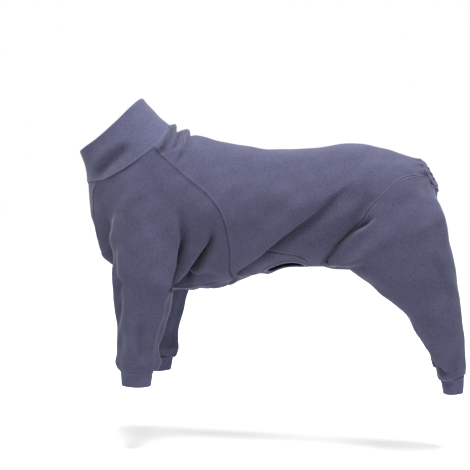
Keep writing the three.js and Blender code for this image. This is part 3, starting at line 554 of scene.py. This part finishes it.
def leg_pieces(name, cuff_name, leg, side, ahead):
    rings = np.array([*leg["rings"], leg["end"]], float)
    rings[:, 1] -= ahead / BODY_LENGTH
    rings, cuff_rings = rings[:-1], rings[-2:]
    marks, angle, pull, drop = leg_samples(leg)
    start, known = torso(marks[:, 0], marks[:, 1]), torso_normal(marks[:, 0], marks[:, 1])
    first, _ = ring_points(leg, rings[:2], angle)
    bridge = bridge_points(leg, start, known, pull, drop, first)
    u = np.linspace(0, 1, leg["ring_rows"] + 1)
    place = (len(rings) - 1) * mix(u, 1 - (1 - u) ** 1.4, u)
    lower, lower_normals = ring_points(leg, read_table(rings, place), angle)
    points = bloused(leg, smoothed(np.concatenate([bridge, lower]), passes=260), angle)
    normals = unit(relax(grid_normals(points, known), passes=6, wrap=True))
    away = np.linalg.norm(points - start, axis=-1, keepdims=True)
    normals = unit(mix(known, normals, smoothstep(0, 30, away)))
    normals[-1] = lower_normals[-1]
    cuff_rows = read_table(cuff_rings, np.linspace(0, 1, 17) ** 1.1)
    cuff, cuff_normals = ring_points(leg, cuff_rows, angle)
    turned = np.array([1, 1 if side == "left" else -1, 1])
    add_tube(f"{name}_{side}", points * turned, normals * turned, WALL, False)
    add_tube(f"{cuff_name}_{side}", cuff * turned, cuff_normals * turned, DOUBLED, True)


collar()
back_panel()
belly_binding(belly_panel())
tail_binding()
for hand, stride in (("left", 0), ("right", HIND_STRIDE)):
    leg_pieces("front_sleeve", "front_cuff", FRONT_LEG, hand, 0)
    leg_pieces("hind_leg", "hind_cuff", HIND_LEG, hand, stride)


# Folds ride on the surface of the left side, found by looking across the suit
def left_surface():
    points, faces, total = [], [], 0
    for name, piece in PIECES.items():
        if name.endswith("_right"):
            continue
        points.append(piece["points"])
        faces.append(piece["quads"] + total)
        total += len(piece["points"])
    return BVHTree.FromPolygons(np.concatenate(points).tolist(), np.concatenate(faces).tolist())


def fold_line(tree, path):
    """The points of a fold's path on the surface, and the way to its right hand."""
    steps = 8 * (len(path) - 1)
    flat = read_table(path, np.linspace(0, len(path) - 1, steps + 1))
    places, normals = [], []
    for x, z in flat:
        hit, normal, _, _ = tree.ray_cast(Vector((x, -FAR, z)), Vector((0, 1, 0)))
        over = hit is None or hit.y > 0
        if over:  # the path goes over the topline or under the belly, and ends at the middle
            down = z > MIDDLE_HEIGHT
            hit, normal, _, _ = tree.ray_cast(Vector((x, -1, FAR if down else -2 * FAR)),
                                              Vector((0, 0, -1 if down else 1)))
        if hit is None:
            hit, normal, _, _ = tree.find_nearest(Vector((x, -60, z)))
            over = False
        places.append(hit)
        normals.append(normal if normal.y < 0 or abs(normal.z) > 0.5 else -normal)
        if over and len(places) > 1:
            break
    places, normals = np.array(places), np.array(normals)
    for _ in range(3):
        places[1:-1] = 0.5 * places[1:-1] + 0.25 * (places[:-2] + places[2:])
    return places, unit(np.cross(unit(np.gradient(places, axis=0)), normals))


SURFACE = left_surface()
LINES = [(fold, *fold_line(SURFACE, fold[-1])) for fold in FOLDS]


def waves(points, length, count, seed):
    """A smooth random field of about unit size, whose waves are about length long."""
    rng = np.random.default_rng(seed)
    total = np.zeros(len(points))
    for _ in range(count):
        direction = unit(rng.normal(size=3))
        size = length * rng.uniform(0.7, 1.6)
        total += np.sin(points @ direction * (2 * np.pi / size) + rng.uniform(0, 2 * np.pi))
    return total * math.sqrt(2 / count)


def fold_moves(points, normals):
    """How the folds move points of the left side, and the painted shade in their hollows and painted
    highlight along their rolls.
    """
    moves, nap = np.zeros_like(points), np.zeros(len(points))
    for (_, rise, sink, lean, broad, steep, start, end, _), line, right in LINES:
        reach = 3.2 * max(broad, steep)
        near = np.flatnonzero(((points > line.min(0) - reach) & (points < line.max(0) + reach)).all(1))
        if not len(near):
            continue
        p = points[near][:, None]
        a, b = line[:-1], line[1:]
        along = b - a
        t = np.clip(((p - a) * along).sum(-1) / (along ** 2).sum(-1), 0, 1)
        off = p - a - along * t[..., None]
        distance = np.linalg.norm(off, axis=-1)
        best = distance.argmin(1)
        rows = np.arange(len(near))
        t, off, distance = t[rows, best], off[rows, best], distance[rows, best]
        hand = mix(right[best], right[best + 1], t[:, None])
        signed = distance * np.sign((off * hand).sum(-1) + 1e-9)
        place = (best + t) / len(a)
        ends = smoothstep(-1e-6, start, place) * smoothstep(-1e-6, end, 1 - place)
        roll = bell(signed, 0, np.where(signed < 0, broad, steep))
        bottom = 1.6 * steep
        hollow = bell(signed, bottom, np.where(signed < bottom, 0.8 * steep, steep + 0.35 * broad))
        crest = bell(signed, 0, steep)
        moves[near] += normals[near] * (ends * (rise * roll - sink * hollow))[:, None]
        moves[near] += hand * (ends * lean * crest)[:, None]
        # Painted highlight along each roll and painted shade in each hollow, darker the deeper it sinks
        nap[near] += ends * (min(rise, 5) * ROLL_HIGHLIGHT * roll ** 3 - min(sink, 27) * HOLLOW_SHADE * hollow)
    return moves, nap


def seam_distance(piece):
    """How far each point of a piece lies from the nearest seam."""
    tree = KDTree(len(piece["seams"]))
    for index in piece["seams"]:
        tree.insert(piece["points"][index], int(index))
    tree.balance()
    return np.array([tree.find(point)[2] for point in piece["points"]])


def tail_gathers(points):
    """Short pleats that fan out from the tail opening, from -1 to 1."""
    tail = points - TAIL_MIDDLE
    angle = np.arctan2(tail[:, 1], tail @ TAIL_UP)
    pleats = np.sin(TAIL_PLEATS * angle + 1.5 * np.sin(2 * angle + 0.6))
    pleats *= bell(tail @ TAIL_OUT, 0, 13)
    return pleats * smoothstep(75, 40, np.linalg.norm(tail, axis=1))


def unevenness(points, normals):
    """The soft waves of worn cloth: upright ones on the legs, slanting ones on the body."""
    taut = 1 - 0.7 * smoothstep(0.55, 0.95, normals[:, 2])  # the cloth lies smooth along the topline
    long = waves(points, length=95, count=9, seed=1)
    short = waves(points, length=42, count=9, seed=2)
    soft = taut * (1.3 * long + 0.6 * short)
    leg = smoothstep(-200, -300, points[:, 2])
    upright = waves(points * np.array([1, 1, 0.2]), length=34, count=7, seed=3)
    soft += leg * mix(1.8, 0.9, smoothstep(-100, 100, points[:, 0])) * upright
    slanted = points @ np.array([[0.79, 0, 0.61], [0, 1, 0], [-0.61, 0, 0.79]]).T
    return soft + (1 - leg) * 0.7 * waves(slanted * np.array([0.2, 1, 1]), length=48, count=9, seed=4)


def shape_cloth(name, piece):
    """Gives a piece its folds, its seams and the small unevenness of worn cloth."""
    points, normals = piece["points"], piece["normals"]
    mirror = np.where(points[:, 1] > 0, -1.0, 1.0)[:, None]
    turned = mirror * np.array([0, 1, 0]) + np.array([1, 0, 1])
    # On the right side the folds run a little differently and not as deep everywhere
    stray = smoothstep(5, 60, points[:, 1])[:, None]
    shift = np.stack([waves(points, 260, 5, seed) for seed in (11, 12, 13)], -1) * 6
    depth = np.clip(0.85 + 0.3 * waves(points, length=300, count=5, seed=14), 0.3, 1.2)[:, None]
    depth = mix(1, depth, stray)
    moves, nap = fold_moves(points * turned + stray * shift, normals * turned)

    edge = seam_distance(piece)
    seam_lift = 0.8 * bell(edge, 2.4, 1.9) - 0.5 * bell(edge, 0, 1)
    # Edges that lie under those of their neighbours are in their shade, the others catch the light
    flank = smoothstep(50, 90, points[:, 0]) * smoothstep(215, 165, points[:, 0])
    under = flank if name == "back_panel" else float(name == "belly_panel" or "sleeve" in name)
    gather = tail_gathers(points)
    # Painted shade along seam edges that lie under, painted highlight along the others, and painted
    # light and shade across the tail's gathers
    nap += (0.9 - 1.7 * under) * bell(edge, 1.7, 1.6) + 0.2 * gather

    soft = (unevenness(points, normals) + 1.7 * gather) * (0.5 if piece["wall"] > WALL else 1)
    piece["points"] = points + moves * turned * depth + normals * (seam_lift + soft - SUNK)[:, None]
    piece["nap"] = np.clip(nap, -1.3, 1)


for name, piece in PIECES.items():
    shape_cloth(name, piece)


def true_normals(points, quads):
    one = points[quads[:, 2]] - points[quads[:, 0]]
    two = points[quads[:, 3]] - points[quads[:, 1]]
    face = np.cross(one, two)
    sums = np.zeros_like(points)
    for k in range(4):
        for axis in range(3):
            sums[:, axis] += np.bincount(quads[:, k], face[:, axis], len(points))
    return unit(sums)


def rounded_rim(points, normals, wall, border, rim):
    """Rows of points round a free edge, from the outer face to the inner one, and their facets."""
    outward = np.zeros_like(points)
    along = unit(points[border[:, 1]] - points[border[:, 0]])
    for k in range(2):
        np.add.at(outward, border[:, k], np.cross(along, normals[border[:, k]]))
    outward = unit(outward)
    middle = points[rim] - normals[rim] * wall / 2
    verts, rows = [], [rim]
    for step in range(1, RIM_STEPS):
        angle = math.pi * step / RIM_STEPS
        verts.append(middle + normals[rim] * wall / 2 * math.cos(angle)
                     + outward[rim] * wall / 2 * math.sin(angle))
        rows.append(2 * len(points) + (step - 1) * len(rim) + np.arange(len(rim)))
    rows.append(rim + len(points))
    place = np.full(len(points), -1)
    place[rim] = np.arange(len(rim))
    a, b = place[border[:, 0]], place[border[:, 1]]
    return verts, [np.stack([one[b], one[a], two[a], two[b]], 1) for one, two in zip(rows, rows[1:])]


def solid(piece):
    """A sheet's outer face, inner face and edge walls, and the outer point that each point follows."""
    points, quads, wall, rim = piece["points"], piece["quads"], piece["wall"], piece["rim"]
    normals = true_normals(points, quads)
    count = len(points)
    edges = np.concatenate([quads[:, [k, (k + 1) % 4]] for k in range(4)])
    shared = np.isin(edges[:, 0] * count + edges[:, 1], edges[:, 1] * count + edges[:, 0])
    border = edges[~shared]
    free = np.isin(border, [] if rim is None else rim).all(1)
    plain = border[~free]
    verts = [points, points - normals * wall]
    faces = [quads, quads[:, ::-1] + count,
             np.stack([plain[:, 1], plain[:, 0], plain[:, 0] + count, plain[:, 1] + count], 1)]
    sources = [np.arange(count), np.arange(count)]
    if free.any():
        rim_verts, rim_faces = rounded_rim(points, normals, wall, border[free], rim)
        verts += rim_verts
        faces += rim_faces
        sources += [rim] * len(rim_verts)
    return np.concatenate(verts), np.concatenate(faces), np.concatenate(sources)


# How light the fleece is, as shares of its colour, from painted shade in the deepest hollows to painted
# highlight on rolls and seam edges
TONES = [(0.1, 0.42), (0.45, 0.68), (1.0, 1.34)]


def noise(tree, place, scale, detail, roughness):
    node = tree.nodes.new("ShaderNodeTexNoise")
    node.inputs["Scale"].default_value = scale
    node.inputs["Detail"].default_value = detail
    node.inputs["Roughness"].default_value = roughness
    tree.links.new(place.outputs["Object"], node.inputs["Vector"])
    return node.outputs["Fac"]


def scaled(tree, value, factor):
    """A node that gives value times factor, plus its third input."""
    node = tree.nodes.new("ShaderNodeMath")
    node.operation = "MULTIPLY_ADD"
    node.inputs[1].default_value = factor
    tree.links.new(value, node.inputs[0])
    return node


def material(name, colour):
    """Brushed fleece: matt, with a fine grain drawn by noise; painted highlight lightens it on rolls and
    seam edges and painted shade darkens it in hollows.
    """
    fleece = bpy.data.materials.new(name)
    fleece.use_nodes = True
    tree = fleece.node_tree
    shader = tree.nodes["Principled BSDF"]
    shader.inputs["Roughness"].default_value = 0.95
    shader.inputs["Specular IOR Level"].default_value = 0.15
    shader.inputs["Sheen Weight"].default_value = 0.16
    shader.inputs["Sheen Roughness"].default_value = 0.45
    shader.inputs["Sheen Tint"].default_value = (0.75, 0.76, 0.95, 1)
    place = tree.nodes.new("ShaderNodeTexCoord")
    fine = noise(tree, place, 360, 4, 0.65)
    broad = noise(tree, place, 22, 3, 0.5)
    nap = tree.nodes.new("ShaderNodeAttribute")
    nap.attribute_name = "nap"
    # Painted shade and highlight from the per-point attribute, added to the fleece's grain and mottling
    # before the tones
    painted_shading_term = scaled(tree, nap.outputs["Fac"], 0.6)
    painted_shading_term.inputs[2].default_value = -0.15
    grain_and_painted_shading = scaled(tree, fine, 1.7)
    tree.links.new(painted_shading_term.outputs[0], grain_and_painted_shading.inputs[2])
    noise_and_painted_shading = scaled(tree, broad, 0.3)
    tree.links.new(grain_and_painted_shading.outputs[0], noise_and_painted_shading.inputs[2])
    ramp = tree.nodes.new("ShaderNodeValToRGB")
    ramp.color_ramp.elements.new(TONES[1][0])
    for element, (position, tone) in zip(ramp.color_ramp.elements, TONES):
        element.position = position
        element.color = (*[min(c * tone, 1) for c in colour], 1)
    tree.links.new(noise_and_painted_shading.outputs[0], ramp.inputs["Fac"])
    tree.links.new(ramp.outputs["Color"], shader.inputs["Base Color"])
    bump = tree.nodes.new("ShaderNodeBump")
    bump.inputs["Strength"].default_value = 0.35
    bump.inputs["Distance"].default_value = 0.0008
    tree.links.new(fine, bump.inputs["Height"])
    tree.links.new(bump.outputs["Normal"], shader.inputs["Normal"])
    return fleece


FLEECE = material("fleece", (0.029, 0.029, 0.053))
DOUBLED_FLEECE = material("fleece_doubled", (0.034, 0.034, 0.062))


def show(name, piece):
    verts, faces, sources = solid(piece)
    mesh = bpy.data.meshes.new(name)
    mesh.from_pydata((verts * MILLIMETRE).tolist(), [], faces.tolist())
    mesh.validate()
    mesh.update()
    mesh.polygons.foreach_set("use_smooth", np.ones(len(mesh.polygons), bool))
    # Painted shade and highlight, one value per point, for the material's tones
    nap = mesh.attributes.new("nap", "FLOAT", "POINT")
    nap.data.foreach_set("value", piece["nap"][sources].astype(np.float32))
    mesh.materials.append(DOUBLED_FLEECE if piece["wall"] > WALL else FLEECE)
    thing = bpy.data.objects.new(f"{name}_cloth", mesh)
    bpy.context.scene.collection.objects.link(thing)
    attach(thing, "root")
    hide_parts(name)


for name, piece in PIECES.items():
    show(name, piece)

# Camera and lamp, in metres: the camera stands as it did for the photograph
CAMERA_AIM = Vector((-0.1197, 0, -0.1833))
CAMERA_DISTANCE = 2.5
CAMERA_YAW = math.radians(11.5)
CAMERA_PITCH = math.radians(6)
LAMP_PLACE = Vector((0.15, -0.6, 2.4))
LAMP_AIM = Vector((0, 0, -0.2))


def put(name, data, place, facing_way):
    thing = bpy.data.objects.new(name, data)
    bpy.context.scene.collection.objects.link(thing)
    thing.location = place
    thing.rotation_mode = "QUATERNION"
    thing.rotation_quaternion = facing_way.to_track_quat("-Z", "Y")
    return thing


camera = bpy.data.cameras.new("camera")
camera.lens = 88.2
camera.sensor_width = 36
camera.clip_end = 50
back = Vector((math.sin(CAMERA_YAW) * math.cos(CAMERA_PITCH),
               -math.cos(CAMERA_YAW) * math.cos(CAMERA_PITCH), math.sin(CAMERA_PITCH)))
eye = put("camera", camera, CAMERA_AIM + back * CAMERA_DISTANCE, -back)
bpy.context.scene.camera = eye

lamp = bpy.data.lights.new("key", "AREA")
lamp.shape = "DISK"
lamp.size = 1.5
lamp.energy = 230
put("key", lamp, LAMP_PLACE, LAMP_AIM - LAMP_PLACE)

world = bpy.data.worlds.new("studio")
world.use_nodes = True
world.node_tree.nodes["Background"].inputs["Color"].default_value = (1, 1, 1, 1)
world.node_tree.nodes["Background"].inputs["Strength"].default_value = 1.0
bpy.context.scene.world = world
bpy.context.scene.view_settings.view_transform = "Standard"

# A pale floor at the height of the wearer's feet
FLOOR_HEIGHT = -0.66
FLOOR_REACH = 6.0
ground = bpy.data.meshes.new("ground")
ground.from_pydata([(x * FLOOR_REACH, y * FLOOR_REACH, FLOOR_HEIGHT)
                    for x, y in ((-1, -1), (1, -1), (1, 1), (-1, 1))], [], [(0, 1, 2, 3)])
floor = bpy.data.objects.new("ground", ground)
bpy.context.scene.collection.objects.link(floor)
paper = bpy.data.materials.new("paper")
paper.use_nodes = True
paper.node_tree.nodes["Principled BSDF"].inputs["Base Color"].default_value = (0.92, 0.92, 0.92, 1)
paper.node_tree.nodes["Principled BSDF"].inputs["Roughness"].default_value = 1
ground.materials.append(paper)
